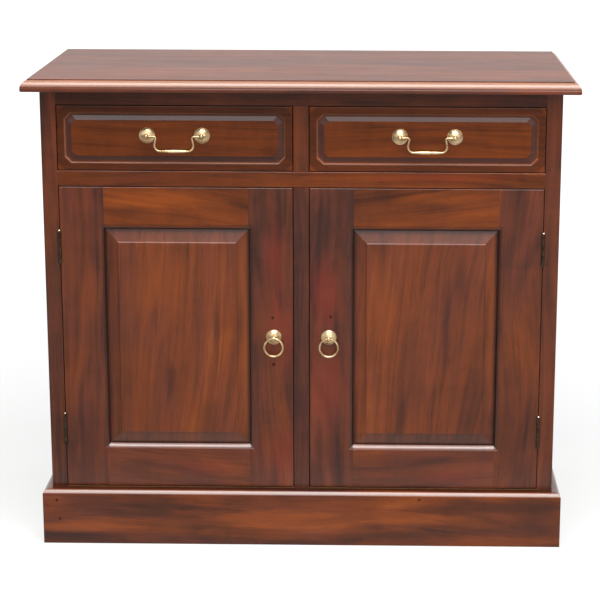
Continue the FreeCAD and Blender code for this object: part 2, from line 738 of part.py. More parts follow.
def door(side, hinge_cuts):
    """A framed door: mitred sticking round the sight, tenoned rails and a raised and fielded panel."""
    name = SIDE_NAMES[side]
    thick = (FACE, DOOR_BACK)
    through = (f"{FACE} - overrun", f"{DOOR_BACK} + overrun")
    sight_x, sight_z = span(side, SIGHT_INNER, SIGHT_OUTER), (SIGHT_FOOT, SIGHT_TOP)
    board = block(span(side, DOOR_INNER, DOOR_OUTER), thick, (DOOR_FOOT, DOOR_TOP))
    quirk = block(
        (f"{sight_x[0]} - sticking_width", f"{sight_x[1]} + sticking_width"),
        (f"{FACE} - overrun", f"{FACE} + sticking_quirk"),
        (f"{SIGHT_FOOT} - sticking_width", f"{SIGHT_TOP} + sticking_width"))
    frame = rounded(
        trim(board, block(sight_x, through, sight_z), quirk),
        sticking_round=on_sight,
        arris_round=lambda point, box: on_front(point, box) and on_rim(point, box))
    groove = block(
        (f"{sight_x[0]} - panel_groove_depth", f"{sight_x[1]} + panel_groove_depth"),
        (GROOVE_FRONT, GROOVE_BACK),
        (f"{SIGHT_FOOT} - panel_groove_depth", f"{SIGHT_TOP} + panel_groove_depth"))
    rails = {"top_rail": (SIGHT_TOP, DOOR_TOP), "bottom_rail": (DOOR_FOOT, SIGHT_FOOT)}
    tenon_levels = {
        "top_rail": (f"{SIGHT_TOP} + panel_groove_depth", f"{DOOR_TOP} - door_tenon_shoulder"),
        "bottom_rail": (f"{DOOR_FOOT} + door_tenon_shoulder", f"{SIGHT_FOOT} - panel_groove_depth")}
    stiles = {
        "lock_stile": (span(side, DOOR_INNER, SIGHT_INNER),
                       span(side, f"{SIGHT_INNER} - door_tenon_length", SIGHT_INNER)),
        "hinge_stile": (span(side, SIGHT_OUTER, DOOR_OUTER),
                        span(side, SIGHT_OUTER, f"{SIGHT_OUTER} + door_tenon_length"))}
    tenons = {
        (rail, stile): block(reach, (GROOVE_FRONT, GROOVE_BACK), level)
        for rail, level in tenon_levels.items()
        for stile, (_, reach) in stiles.items()}
    bolt, pull = ring_rosette(side)
    for rail, level in rails.items():
        bar = trim(shared(frame, block(sight_x, through, level)), groove)
        keep(f"{name}_door_{rail}", join(bar, *[tenons[rail, stile] for stile in stiles]))
    for stile, (width, _) in stiles.items():
        post = shared(frame, block(width, through, (DOOR_FOOT, DOOR_TOP)))
        cuts = [groove] + [tenons[rail, stile] for rail in rails]
        cuts += hinge_cuts if stile == "hinge_stile" else [bolt]
        keep(f"{name}_door_{stile}", trim(post, *cuts))
    door_panel(name, sight_x, sight_z)
    keep(f"{name}_ring_rosette", pull)


def door_panel(name, sight_x, sight_z):
    """The panel: a tongue in the groove, a bevel all round and a soft-edged field that steps up from it."""
    reach = "(panel_groove_depth - panel_end_clearance)"
    tongue_front = f"({GROOVE_FRONT} + panel_face_clearance)"
    tongue = block(
        (f"{sight_x[0]} - {reach}", f"{sight_x[1]} + {reach}"),
        (tongue_front, f"{GROOVE_BACK} - panel_face_clearance"),
        (f"{sight_z[0]} - {reach}", f"{sight_z[1]} + {reach}"))
    field_x = (f"{sight_x[0]} + bevel_width", f"{sight_x[1]} - bevel_width")
    field_z = (f"{sight_z[0]} + bevel_width", f"{sight_z[1]} - bevel_width")
    edge_x = (f"{sight_x[0]} + panel_edge_clearance", f"{sight_x[1]} - panel_edge_clearance")
    edge_z = (f"{sight_z[0]} + panel_edge_clearance", f"{sight_z[1]} - panel_edge_clearance")
    step = f"({FACE} + field_setback + field_step)"
    bevel = wedge((step, tongue_front), field_x, edge_x, field_z, edge_z)
    field = rounded(block(field_x, (f"{FACE} + field_setback", tongue_front), field_z), field_round=on_front)
    keep(f"{name}_door_panel", join(tongue, bevel, field))


def rosette(x, z, projection, end_radius):
    """A turned rosette on the face: rim, dome, neck and the ball at its end."""
    rim = rod("rosette_radius", "rosette_rim", x, FACE, z, FORWARD)
    curve = "((rosette_dome_radius ^ 2 + rosette_dome_height ^ 2) / (2 * rosette_dome_height))"
    crown = f"({FACE} - rosette_rim - rosette_dome_height)"
    dome = shared(
        ball(curve, x, f"{crown} + {curve}", z),
        rod("rosette_dome_radius", "rosette_rim + rosette_dome_height", x, FACE, z, FORWARD))
    neck = rod("rosette_neck_radius", projection, x, FACE, z, FORWARD)
    return join(rim, dome, neck, ball(end_radius, x, f"{FACE} - {projection}", z))


def bolted(turned, x, z, wall):
    """A rosette with its bolt through the wood and a round nut, and the bolt alone to cut the hole."""
    bolt = rod("bolt_radius", f"{wall} + nut_height", x, f"{FACE} + {wall} + nut_height", z, FORWARD)
    nut = rod("nut_radius", "nut_height", x, f"{FACE} + {wall} + nut_height", z, FORWARD)
    return bolt, join(turned, bolt, nut)


def ring_rosette(side):
    """The rosette of a ring pull, with an eye through its ball."""
    x = across(side, f"({DOOR_INNER} + ring_inset)")
    z = f"({DOOR_FOOT} + ring_height)"
    y = f"({FACE} - eye_projection)"
    eye = rod("eye_hole_radius", "2 * eye_radius", f"{x} - eye_radius", y, z, TO_RIGHT)
    bolt, body = bolted(rosette(x, z, "eye_projection", "eye_radius"), x, z, "door_thickness")
    ring = torus("ring_radius", "ring_wire_radius", x, y, f"{z} - ring_radius", FORWARD)
    keep(f"{SIDE_NAMES[side]}_ring", ring)
    return bolt, trim(body, eye)


def catches():
    """A magnetic catch for each door under the middle runner, and its plate on the back of the door."""
    bodies = []
    for side in (LEFT, RIGHT):
        width = span(side, f"({DOOR_INNER} + catch_inset)", f"({DOOR_INNER} + catch_inset + catch_width)")
        foot = f"({DOOR_HEAD} - catch_height)"
        front = f"({DOOR_BACK} + catch_plate_thickness + catch_gap)"
        bodies.append(block(width, (front, f"{front} + catch_length"), (foot, DOOR_HEAD)))
        plate_y = (DOOR_BACK, f"{DOOR_BACK} + catch_plate_thickness")
        plate = block(width, plate_y, (foot, f"{foot} + catch_plate_height"))
        keep(f"{SIDE_NAMES[side]}_catch_plate", plate)
    keep("door_catches", group(*bodies))


def octagon(half_width, half_height, cant):
    """Corners of an upright oblong with cut corners, about the middle of its plane."""
    inner_x, inner_z = f"({half_width} - {cant})", f"({half_height} - {cant})"
    return [
        (f"-{inner_x}", f"-{half_height}"), (inner_x, f"-{half_height}"),
        (half_width, f"-{inner_z}"), (half_width, inner_z),
        (inner_x, half_height), (f"-{inner_x}", half_height),
        (f"-{half_width}", inner_z), (f"-{half_width}", f"-{inner_z}")]


def front_board(side):
    """A drawer front about its own middle: soft edges, a sunk groove with cut corners, a raised field."""
    half_height = f"(({DRAWER_TOP} - {DRAWER_FOOT}) / 2)"

    def inset(distance, cant):
        return octagon(f"({DRAWER_HALF} - {distance})", f"({half_height} - {distance})", cant)

    foot = "(sunk_width - sunk_slope)"
    foot_cant = f"(sunk_cant + (field_cant - sunk_cant) * {foot} / sunk_width)"
    body = doc.addObject("PartDesign::Body", "front_board")
    signs = (("-", "-"), ("", "-"), ("", ""), ("-", ""))
    oblong = [(f"{x}{DRAWER_HALF}", f"{z}{half_height}") for x, z in signs]
    whole = outline(body, "XZ_Plane", "-drawer_front_thickness", oblong)
    board = pad(body, whole, "drawer_front_thickness")
    edged = soften(body, board, "arris_round", lambda point, box: on_front(point, box))
    pocket = body.newObject("PartDesign::Pocket", "sunk_groove")
    pocket.Profile = outline(body, "XZ_Plane", "0", inset("sunk_border", "sunk_cant"))
    bind(pocket, Length="sunk_depth")
    doc.recompute()
    if pocket.Shape.Volume >= edged.Shape.Volume:
        raise RuntimeError("the sunk groove of a drawer front cuts nothing")
    lip = size("sunk_border") / 2
    soften(body, pocket, "sunk_round", lambda point, box: (
        on_front(point, box) and box.XMin + lip < point.x < box.XMax - lip
        and box.ZMin + lip < point.z < box.ZMax - lip))
    slope = body.newObject("PartDesign::AdditiveLoft", "slope")
    slope.Profile = outline(body, "XZ_Plane", "-sunk_depth", inset(f"(sunk_border + {foot})", foot_cant))
    field = inset("(sunk_border + sunk_width)", "field_cant")
    slope.Sections = [outline(body, "XZ_Plane", "-sunk_step", field)]
    slope.Ruled = True
    pad(body, outline(body, "XZ_Plane", "-sunk_depth", field), "sunk_depth")
    return place(body, across(side, DRAWER_MIDDLE), FACE, DRAWER_CENTRE)


def tails(side, outer):
    """The dovetails of one drawer side, which also cut their sockets in the front."""
    root, end = "(tail_width / 2 - tail_flare)", "(tail_width / 2)"
    inward = "-" if outer == DRAWER_OUTER else "+"
    inner = f"({outer} {inward} drawer_side_thickness)"
    x = span(side, inner, outer) if outer == DRAWER_OUTER else span(side, outer, inner)
    made = []
    for share in TAIL_SHARES:
        centre = f"({DRAWER_FOOT} + ({DRAWER_TOP} - {DRAWER_FOOT}) * {share})"
        made.append(wedge(
            (f"{FRONT_BACK} - tail_length", FRONT_BACK), x, x,
            (f"{centre} - {end}", f"{centre} + {end}"), (f"{centre} - {root}", f"{centre} + {root}")))
    return x, made


def drawer(side):
    """A drawer: dovetailed front, two sides, a housed back and a bottom in grooves."""
    name = SIDE_NAMES[side]
    bottom_foot = f"({BOX_FOOT} + drawer_bottom_rise)"
    bottom_top = f"({bottom_foot} + drawer_bottom_thickness)"
    inner_x = span(
        side, f"({DRAWER_INNER} + drawer_side_thickness)", f"({DRAWER_OUTER} - drawer_side_thickness)")
    bottom = block(
        (f"{inner_x[0]} - drawer_groove_depth", f"{inner_x[1]} + drawer_groove_depth"),
        (f"{FRONT_BACK} - drawer_groove_depth", BOX_REAR), (bottom_foot, bottom_top))
    back_rear = f"({BOX_REAR} - drawer_back_inset)"
    back = block(
        (f"{inner_x[0]} - drawer_back_housing", f"{inner_x[1]} + drawer_back_housing"),
        (f"{back_rear} - drawer_back_thickness", back_rear), (bottom_top, f"{BOX_TOP} - drawer_back_drop"))
    walls, sockets = [], []
    for outer in (DRAWER_INNER, DRAWER_OUTER):
        x, pins = tails(side, outer)
        wall = block(x, (FRONT_BACK, BOX_REAR), (BOX_FOOT, BOX_TOP))
        walls.append(trim(join(wall, *pins), bottom, back))
        sockets += pins
    bolts, rosettes, bail = bail_handle(side)
    keep(f"{name}_drawer_front", trim(front_board(side), bottom, *sockets, *bolts))
    keep(f"{name}_drawer_sides", group(*walls))
    keep(f"{name}_drawer_back", back)
    keep(f"{name}_drawer_bottom", bottom)
    keep(f"{name}_handle_rosettes", group(*rosettes))
    keep(f"{name}_bail", bail)


def rounded_path(corners, rounds):
    """Straight runs between corners, joined by arcs that touch both, as one wire."""
    edges, start = [], corners[0]
    for before, corner, after, radius in zip(corners, corners[1:], corners[2:], rounds):
        back, ahead = (before - corner).normalize(), (after - corner).normalize()
        half_turn = back.getAngle(ahead) / 2
        leave, join_again = (corner + way * (radius / math.tan(half_turn)) for way in (back, ahead))
        bisector = (back + ahead).normalize()
        summit = corner + bisector * (radius / math.sin(half_turn) - radius)
        edges += [Part.LineSegment(start, leave).toShape(), Part.Arc(leave, summit, join_again).toShape()]
        start = join_again
    edges.append(Part.LineSegment(start, corners[-1]).toShape())
    return Part.Wire(edges)


def bail_grip():
    """The barrel of a bail's lower bar, thickest in the middle, about the middle of its pivot line."""
    half, drop = size("bail_grip_half"), size("bail_drop")
    rise = Vector(0, 0, size("bail_grip_end_radius"))
    axis_start, axis_end = Vector(-half, 0, -drop), Vector(half, 0, -drop)
    rim_start, rim_end = axis_start + rise, axis_end + rise
    section = Part.Wire([
        Part.LineSegment(axis_start, rim_start).toShape(),
        Part.Arc(rim_start, Vector(0, 0, size("bail_grip_radius") - drop), rim_end).toShape(),
        Part.LineSegment(rim_end, axis_end).toShape(),
        Part.LineSegment(axis_end, axis_start).toShape()])
    return Part.Face(section).revolve(axis_start, Vector(1, 0, 0), 360)


def bent_bail():
    """A bail about the middle of its pivot line: bent wire, ends along X, and the barrel to hold it by."""
    half_run = [
        (size("bail_spacing") / 2 - size("bail_pin_depth"), 0.0),
        (size("bail_neck_half"), 0.0),
        (size("bail_foot_half"), -size("bail_drop"))]
    half_rounds = [size("bail_neck_round"), size("bail_foot_round")]
    corners = [Vector(-x, 0, z) for x, z in half_run] + [Vector(x, 0, z) for x, z in reversed(half_run)]
    path = rounded_path(corners, half_rounds + half_rounds[::-1])
    section = Part.Wire(Part.makeCircle(size("bail_wire_radius"), corners[0], Vector(1, 0, 0)))
    made = doc.addObject("Part::Feature", "bail")
    made.Shape = path.makePipeShell([section], True, False).fuse(bail_grip())
    return made


def bail_handle(side):
    """A swan-neck bail between two rosettes whose balls take its ends."""
    x, z = across(side, DRAWER_MIDDLE), BAIL_HEIGHT
    pivot_y = f"({FACE} - ball_projection)"
    bolts, rosettes = [], []
    for end, outward, inward in ((LEFT, "-", "+"), (RIGHT, "+", "-")):
        at = f"({x} {outward} bail_spacing / 2)"
        turned = rosette(at, z, "ball_projection", "ball_radius")
        bolt, body = bolted(turned, at, z, "drawer_front_thickness")
        socket = rod(
            "bail_wire_radius + bail_clearance", "ball_radius - bail_pin_depth + bail_pin_end_gap",
            f"{at} {inward} ball_radius", pivot_y, z, TOWARDS[end])
        bolts.append(bolt)
        rosettes.append(trim(body, socket))
    return bolts, rosettes, place(bent_bail(), x, pivot_y, z)


def write_parts():
    """Check every object and sub-part, then write one file for each sub-part."""
    doc.recompute()
    failed = [item.Label for item in doc.Objects if {"Invalid", "Error"} & set(item.State)]
    failed += [name for name, item in parts.items() if item.Shape.isNull() or not item.Shape.isValid()]
    failed += [name for name, item in parts.items() if not item.Shape.Solids]
    if failed:
        raise RuntimeError(f"these did not build: {failed}")
    os.makedirs("parts", exist_ok=True)
    for name, item in parts.items():
        item.Shape.exportStep(f"parts/{name}.step")
    print(f"{len(parts)} sub-parts written")


top_board(carriage())
frame_cuts, door_cuts = hinges()
face_frame(frame_cuts)
cupboard()
sides(back_rails() + [parts["floor_board"]])
plinth()
for hand in (LEFT, RIGHT):
    door(hand, door_cuts[hand])
    drawer(hand)
catches()
write_parts()
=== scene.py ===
# Looks of the chiffonier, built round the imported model. Metres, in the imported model's own frame.
import json
import math

import bmesh
import bpy
from mathutils import Matrix, Vector


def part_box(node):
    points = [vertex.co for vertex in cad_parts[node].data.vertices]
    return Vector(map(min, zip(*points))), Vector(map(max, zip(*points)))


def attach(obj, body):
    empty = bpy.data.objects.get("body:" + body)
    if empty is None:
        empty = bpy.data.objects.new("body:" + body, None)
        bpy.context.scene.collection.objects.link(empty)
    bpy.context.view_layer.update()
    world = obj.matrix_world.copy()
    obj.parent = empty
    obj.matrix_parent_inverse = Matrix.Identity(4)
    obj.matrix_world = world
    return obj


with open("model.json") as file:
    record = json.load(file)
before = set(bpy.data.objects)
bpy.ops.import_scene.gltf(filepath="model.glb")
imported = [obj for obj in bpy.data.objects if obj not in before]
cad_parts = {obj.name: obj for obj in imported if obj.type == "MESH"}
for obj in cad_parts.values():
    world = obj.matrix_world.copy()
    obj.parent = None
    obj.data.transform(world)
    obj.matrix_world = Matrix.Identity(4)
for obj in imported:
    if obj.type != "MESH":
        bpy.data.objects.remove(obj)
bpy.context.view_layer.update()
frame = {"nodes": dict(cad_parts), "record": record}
nodes = frame["nodes"]

# Faces and levels of the model that finishes are measured from
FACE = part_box("door_muntin")[0].y
PLINTH_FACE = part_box("plinth_front")[0].y
TOP_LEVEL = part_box("top_board")[1].z
PLINTH_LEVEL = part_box("plinth_front")[1].z
PANEL_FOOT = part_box("left_door_panel")[0].z

# Camera, fitted to corners of the piece in the photograph: degrees, and millimetres for lens and sensor
CAMERA_PLACE = Vector((0.1324, -3.6346, 1.3089))
CAMERA_PITCH = 13.857
CAMERA_YAW = -0.794
CAMERA_ROLL = 0.211
CAMERA_LENS = 116.35
CAMERA_SENSOR = 36.0
CAMERA_SHIFT = -0.08

# Light: each soft box has its place, what it looks at, its width and height, and its power
SOFT_BOXES = {
    "front_box": ((0.9, -4.3, 1.1), (0.1, 0.0, 0.55), (3.4, 0.7), 34.0),
    "high_box": ((0.3, -3.3, 2.9), (0.0, 0.0, 0.6), (3.4, 0.9), 32.0),
    "roof_box": ((0.1, -1.2, 3.2), (0.1, -0.8, 0.3), (2.2, 1.6), 108.0),
    "side_box": ((3.0, -2.0, 1.1), (0.0, -0.1, 0.4), (1.2, 1.6), 34.0),
}
# Lamps that polish and brass mirror
MIRRORED = ("front_box", "high_box", "roof_box")
LAMP_TINT = (0.95, 0.98, 1.0)
WHITE = (1.0, 1.0, 1.0, 1.0)
# Light of the sky at the horizon and above, and the upward share of a direction at which it is full
SKY_LOW = 0.38
SKY_TOP = 0.55
SKY_RISE = 0.7

# Floor: its glow is less near the piece, where the shadow falls, and what polish mirrors of it fades in front
FLOOR_REACH = 12.0
FLOOR_COLOUR = "#8e8e8c"
FLOOR_GLOW = 0.7
GLOW_RISE = (0.8, 3.0)
FRONT_GLOW = 0.1
FRONT_FADE = (-0.3, -0.8)

# Tones from deepest to palest: of the mahogany where it is red and where it is orange, then of plain wood
RED_TONES = ("#150907", "#3a1b12", "#68311f", "#8f4a30")
ORANGE_TONES = ("#1b0b03", "#451e09", "#7a3810", "#a85c20")
LINING_TONES = ("#4a3020", "#76523a", "#9a7452", "#b8946c")
BACK_TONES = ("#3a2416", "#5c3b25", "#7a5336", "#94704c")
TONE_SHARES = (0.0, 0.35, 0.65, 1.0)

LACQUER = {"roughness": 0.5, "level": 0.03, "relief": 0.00008, "coat": 0.9, "coat_roughness": 0.15}
PLAIN = {"roughness": 0.62, "level": 0.3, "relief": 0.0002, "coat": 0.0, "coat_roughness": 0.3}
# Share of the coat on boards that have lost some of it, by the ending of a board's name
DULLED = {"drawer_front": 0.6, "middle_rail": 0.7, "top_rail": 0.75, "plinth_front": 0.6}
# The top's flat is rubbed thinner than its edge: heights between which the coat thins, and how much is left
THIN_COAT = ((-0.0058, -0.0040), 0.36)

# Each lacquered board: axes along the grain, across it and into it, then tone, warmth, lean and figure
BOARDS = {
    "top_board": ("XYZ", 0.56, 0.40, 0.02, 0.10),
    # The top rail's low tone is partly painted shade under the top's overhang
    "top_rail": ("XZY", 0.38, 0.40, 0.01, 0.40),
    "middle_rail": ("XZY", 0.54, 0.95, 0.01, 0.40),
    "drawer_muntin": ("ZXY", 0.48, 0.55, 0.02, 0.25),
    "door_muntin": ("ZXY", 0.47, 0.12, 0.01, 0.40),
    "left_front_stile": ("ZXY", 0.50, 0.50, 0.01, 0.35),
    "right_front_stile": ("ZXY", 0.48, 0.45, -0.01, 0.35),
    "left_side_panel": ("ZYX", 0.50, 0.45, 0.03, 0.35),
    "right_side_panel": ("ZYX", 0.50, 0.45, -0.03, 0.35),
    "plinth_front": ("XZY", 0.57, 0.75, 0.03, 0.75),
    "plinth_left": ("YZX", 0.50, 0.45, 0.02, 0.50),
    "plinth_right": ("YZX", 0.50, 0.45, -0.02, 0.50),
    "left_drawer_front": ("XZY", 0.50, 0.90, 0.02, 0.15),
    "right_drawer_front": ("XZY", 0.53, 0.95, -0.02, 0.15),
    "left_door_hinge_stile": ("ZXY", 0.55, 0.45, 0.03, 0.55),
    "right_door_hinge_stile": ("ZXY", 0.56, 0.45, -0.02, 0.55),
    "left_door_lock_stile": ("ZXY", 0.50, 0.25, 0.04, 0.60),
    "right_door_lock_stile": ("ZXY", 0.48, 0.20, -0.03, 0.75),
    "left_door_top_rail": ("XZY", 0.58, 0.98, 0.16, 0.55),
    "right_door_top_rail": ("XZY", 0.50, 0.95, -0.14, 0.40),
    "left_door_bottom_rail": ("XZY", 0.59, 0.50, 0.08, 0.60),
    "right_door_bottom_rail": ("XZY", 0.55, 0.45, -0.05, 0.50),
    "left_door_panel": ("ZXY", 0.61, 0.58, -0.07, 0.28),
    "right_door_panel": ("ZXY", 0.59, 0.56, -0.13, 0.28),
}
# Axes of the plain boards inside and behind, then tone, warmth, lean and figure of the lining and of the back
PLAIN_BOARDS = {
    "bottom_rail": "XZY", "floor_board": "XYZ", "shelf": "XYZ", "shelf_bearers": "YZX",
    "drawer_runners": "YXZ", "drawer_kickers": "YXZ", "corner_blocks": "ZXY",
    "back_top_rail": "XZY", "back_middle_rail": "XZY", "back_bottom_rail": "XZY", "back_panel": "ZXY",
    "left_drawer_sides": "YZX", "left_drawer_back": "XZY", "left_drawer_bottom": "XYZ",
    "right_drawer_sides": "YZX", "right_drawer_back": "XZY", "right_drawer_bottom": "XYZ",
}
LINING_LOOK = (0.56, 0.5, 0.03, 0.3)
BACK_LOOK = (0.5, 0.5, 0.02, 0.3)

# Layers of the grain: waves to a metre along it, across it and into it, then detail and distortion
GRAIN = {
    "drift": ((1.1, 10.0, 10.0), 2.0, 0.0),
    "streak": ((3.4, 74.0, 50.0), 3.0, 0.5),
    "zone": ((1.7, 13.0, 13.0), 1.0, 0.0),
    "fibre": ((9.0, 330.0, 330.0), 2.0, 0.0),
    "patch": ((6.0, 19.0, 19.0), 3.0, 0.8),
    "tint": ((4.0, 14.0, 14.0), 2.0, 0.8),
    "warmth": ((1.3, 7.0, 7.0), 2.0, 0.0),
    "curl": ((26.0, 9.0, 9.0), 2.0, 0.6),
    "pore": ((60.0, 1500.0, 1500.0), 1.0, 0.0),
}
# The same for the edges of patches, for bends of the grain and for smears of polish
WANDER = ((9.0, 70.0, 70.0), 4.0, 0.4)
BEND = ((2.0, 4.0, 4.0), 1.0, 0.0)
SMEAR = ((14.0, 30.0, 30.0), 2.0, 0.0)
# How far each layer moves the tone, and how far a board's figure does
TONE_SWAYS = {"drift": 0.34, "streak": 0.50, "fibre": 0.11, "curl": 0.12}
FIGURE_SWAY = 0.9
# How far the hue moves, in general, by tint, and by tint for a board's figure
HUE_SWAY, TINT_SWAY, TINT_FIGURE = 1.0, 0.6, 2.0
# Where streaks turn dark, where such zones lie and where pores open, and how far these lower the tone
DARK_STEPS, ZONE_STEPS, PORE_STEPS = (0.47, 0.76), (0.44, 0.62), (0.60, 0.70)
DARK_DEPTH, PORE_DEPTH = -0.30, -0.10
# How far the grain bends, and how far smears of polish move the roughness and the relief
BEND_SWAY, SMEAR_SWAY, SMEAR_RELIEF = 0.07, 0.2, 0.5
# How far a board's number moves its grain along each axis, so that no two boards are alike
SEED_MOVES = (1.37, 0.73, 0.51)

# Painted shade and painted highlights, by the ending of a board's name: what the distance is measured
# along, where it starts from, where the mark starts, is full, thins and ends, its share and tone
# Tones of painted shade, of painted shade greyed by painted reflection, of painted highlight and of a greyer
# one
PAINTED_SHADE, PAINTED_SHADE_AND_SHEEN, PAINTED_HIGHLIGHT, PAINTED_GREY_HIGHLIGHT = "#1a0c08", "#3a2d2e", "#c4977e", "#cdb6ae"
# Painted shade in the sticking round a door's panel
STICKING_SHADE = [("Y", FACE, (0.0006, 0.0030, 0.0104, 0.0120), 0.72, PAINTED_SHADE)]
MARKS = {
    # Drawer front: border darkened; painted shade and reflection in the groove; painted highlight on its lip
    "drawer_front": [
        ("rim", 0.0, (-0.001, 0.0, 0.0110, 0.0134), 0.42, PAINTED_SHADE),
        ("rim", 0.0, (0.0150, 0.0172, 0.0250, 0.0266), 0.60, PAINTED_SHADE_AND_SHEEN),
        ("rim", 0.0, (0.0130, 0.0137, 0.0142, 0.0150), 0.30, PAINTED_HIGHLIGHT)],
    # Door panel: painted shade on its bevels, more along the foot and most where it meets the sticking
    "door_panel": [
        ("Y", FACE, (0.0060, 0.0068, 0.0125, 0.0140), 0.10, PAINTED_SHADE),
        ("Z", PANEL_FOOT, (-0.0010, 0.0, 0.0270, 0.0310), 0.16, PAINTED_SHADE),
        ("Y", FACE, (0.0094, 0.0110, 0.0125, 0.0140), 0.70, PAINTED_SHADE)],
    "hinge_stile": STICKING_SHADE,
    "lock_stile": STICKING_SHADE,
    "door_top_rail": STICKING_SHADE,
    # Painted highlight on the bottom rail's sticking, which faces up
    "door_bottom_rail": [("Y", FACE, (0.0010, 0.0032, 0.0078, 0.0100), 0.44, PAINTED_GREY_HIGHLIGHT)],
    # Painted highlight along the top's rounded nose
    "top_board": [("Z", TOP_LEVEL, (-0.0126, -0.0086, -0.0030, -0.0006), 0.50, PAINTED_HIGHLIGHT)],
    # Plinth: painted highlight on its round, and painted shade on the ledge below the doors
    "plinth_front": [
        ("Z", PLINTH_LEVEL, (-0.0068, -0.0044, -0.0012, -0.0002), 0.60, PAINTED_GREY_HIGHLIGHT),
        ("Y", FACE, (-0.0162, -0.0146, 0.0100, 0.0120), 0.70, PAINTED_SHADE)],
}
# Depths behind the face between which marks along a rim end
RIM_DEPTHS = (0.008, 0.006)
# At the groove's cut corners both distances to the edges, added up, count with this share, less this length
CORNER_CUT = (0.571, -0.0083)

# Patches on a board, of figure and a few of painted shade: middle across and upward, half its width and
# height, share and tone
CRIMSON, AMBER, SHADE = "#7e2818", "#a24e16", "#2a130e"
PATCHES = {
    "left_door_hinge_stile": [
        # The first patch darkens the stile towards its foot
        ((-0.395, 0.150), (0.050, 0.090), 0.30, SHADE), ((-0.380, 0.560), (0.016, 0.090), 0.25, SHADE)],
    "right_door_hinge_stile": [
        # The first patch darkens the stile towards its foot
        ((0.395, 0.200), (0.045, 0.130), 0.38, SHADE), ((0.372, 0.520), (0.014, 0.080), 0.25, SHADE)],
    "left_door_lock_stile": [
        ((-0.050, 0.537), (0.024, 0.080), 0.45, CRIMSON), ((-0.024, 0.312), (0.018, 0.070), 0.45, SHADE),
        ((-0.068, 0.640), (0.014, 0.060), 0.40, SHADE), ((-0.036, 0.170), (0.030, 0.060), 0.35, CRIMSON),
        ((-0.038, 0.405), (0.026, 0.085), 0.45, CRIMSON)],
    "right_door_lock_stile": [
        ((0.045, 0.478), (0.032, 0.080), 0.55, CRIMSON), ((0.048, 0.308), (0.036, 0.090), 0.40, CRIMSON),
        ((0.060, 0.625), (0.030, 0.110), 0.45, SHADE), ((0.045, 0.160), (0.040, 0.060), 0.35, SHADE)],
    "left_door_top_rail": [
        ((-0.229, 0.650), (0.100, 0.016), 0.40, AMBER), ((-0.315, 0.624), (0.060, 0.012), 0.40, SHADE),
        ((-0.150, 0.674), (0.070, 0.009), 0.35, SHADE)],
    "right_door_top_rail": [
        ((0.141, 0.661), (0.030, 0.022), 0.40, SHADE), ((0.276, 0.652), (0.080, 0.016), 0.30, AMBER)],
    "left_door_bottom_rail": [
        ((-0.300, 0.150), (0.060, 0.022), 0.35, SHADE), ((-0.180, 0.140), (0.060, 0.016), 0.35, CRIMSON)],
    "right_door_bottom_rail": [
        ((0.200, 0.160), (0.090, 0.014), 0.30, SHADE), ((0.270, 0.130), (0.060, 0.016), 0.30, CRIMSON)],
    "left_door_panel": [
        ((-0.241, 0.318), (0.011, 0.045), 0.45, SHADE), ((-0.155, 0.409), (0.009, 0.080), 0.40, SHADE),
        ((-0.173, 0.245), (0.022, 0.060), 0.30, SHADE), ((-0.270, 0.500), (0.050, 0.120), 0.30, AMBER),
        ((-0.100, 0.420), (0.012, 0.240), 0.40, AMBER), ((-0.346, 0.400), (0.012, 0.260), 0.25, SHADE)],
    "right_door_panel": [
        ((0.264, 0.425), (0.010, 0.090), 0.45, SHADE), ((0.147, 0.537), (0.010, 0.080), 0.40, SHADE),
        ((0.183, 0.242), (0.010, 0.060), 0.45, SHADE), ((0.289, 0.504), (0.012, 0.080), 0.35, SHADE),
        ((0.150, 0.450), (0.030, 0.110), 0.25, AMBER), ((0.347, 0.450), (0.012, 0.190), 0.35, AMBER),
        # A band of painted shade along the panel's lower bevel
        ((0.225, 0.195), (0.140, 0.013), 0.22, SHADE)],
    "plinth_front": [
        ((-0.400, 0.034), (0.110, 0.014), 0.50, AMBER), ((-0.420, 0.016), (0.110, 0.008), 0.55, SHADE),
        ((-0.267, 0.073), (0.070, 0.020), 0.45, SHADE), ((-0.035, 0.052), (0.130, 0.026), 0.45, AMBER),
        ((0.200, 0.051), (0.090, 0.016), 0.55, AMBER), ((0.182, 0.020), (0.110, 0.008), 0.45, SHADE),
        ((0.366, 0.078), (0.130, 0.014), 0.55, SHADE), ((0.341, 0.026), (0.110, 0.013), 0.40, SHADE),
        ((0.450, 0.050), (0.050, 0.050), 0.45, SHADE)],
    "middle_rail": [
        ((0.250, 0.690), (0.140, 0.008), 0.30, CRIMSON), ((-0.130, 0.695), (0.070, 0.008), 0.35, SHADE)],
}
# Share of a patch's size at which it starts and is full, and how far its edge wanders
PATCH_EDGE = (1.25, 0.15)
PATCH_WANDER = 1.8

# Metals and other plain stuffs: dark and pale tone, metallic share, roughness, clouds to a metre, relief and
# specular level
METALS = {
    "brass": ("#ae906a", "#e6cb9e", 1.0, 0.3, 70.0, 0.00003, 0.5),
    "hinge_brass": ("#1c110a", "#4a3520", 0.6, 0.45, 160.0, 0.0001, 0.5),
    "hinge_pins": ("#8d7a58", "#efe6d0", 1.0, 0.2, 160.0, 0.00005, 0.5),
    "steel": ("#6c6a66", "#a5a29b", 1.0, 0.35, 160.0, 0.00005, 0.5),
    "catch_plastic": ("#2a1a12", "#3a261b", 0.0, 0.5, 160.0, 0.00005, 0.5),
    "filler": ("#2e140e", "#572a1d", 0.0, 0.7, 900.0, 0.00005, 0.05),
}
# Detail of the clouds, where they turn from dark to pale, and how far they move the roughness
CLOUD_DETAIL = 5.0
CLOUD_STEPS = (0.36, 0.66)
CLOUD_SWAY = 0.3

